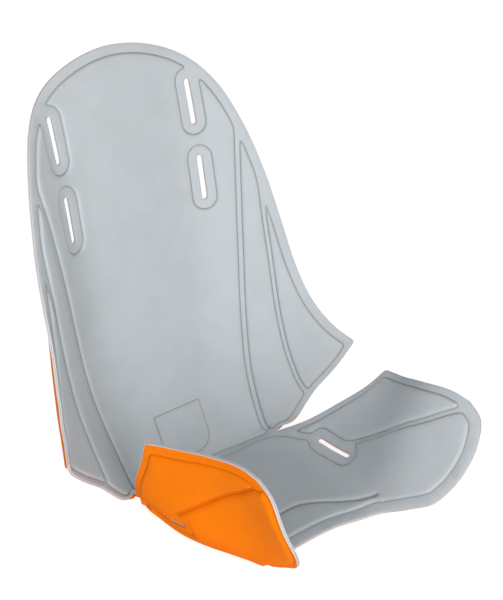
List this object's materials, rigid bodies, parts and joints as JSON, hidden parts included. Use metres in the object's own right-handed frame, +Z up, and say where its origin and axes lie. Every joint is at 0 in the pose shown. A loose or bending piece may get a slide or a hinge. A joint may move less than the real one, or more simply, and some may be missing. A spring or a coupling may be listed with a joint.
{
  "type": "child bicycle seat foam insert",
  "caption": "Moulded two-colour foam insert that lines a child's bicycle seat, with a high winged back, side wings on the seat and slots for the harness.",
  "frame": {"origin": "on the flat underside of the seat, where the insert rests, on the centre line 75 mm in front of the crease", "axes": "+Z up, -Y towards the front edge of the seat, +X to the right in a front view"},
  "size_m": [0.3803, 0.3862, 0.4594],
  "materials": {
    "grey_foam": "matt closed-cell foam",
    "orange_foam": "matt closed-cell foam"
  },
  "bodies": {
    "root": {"grey_face_foam": "grey_foam", "orange_back_foam": "orange_foam"}
  },
  "joints": []
}
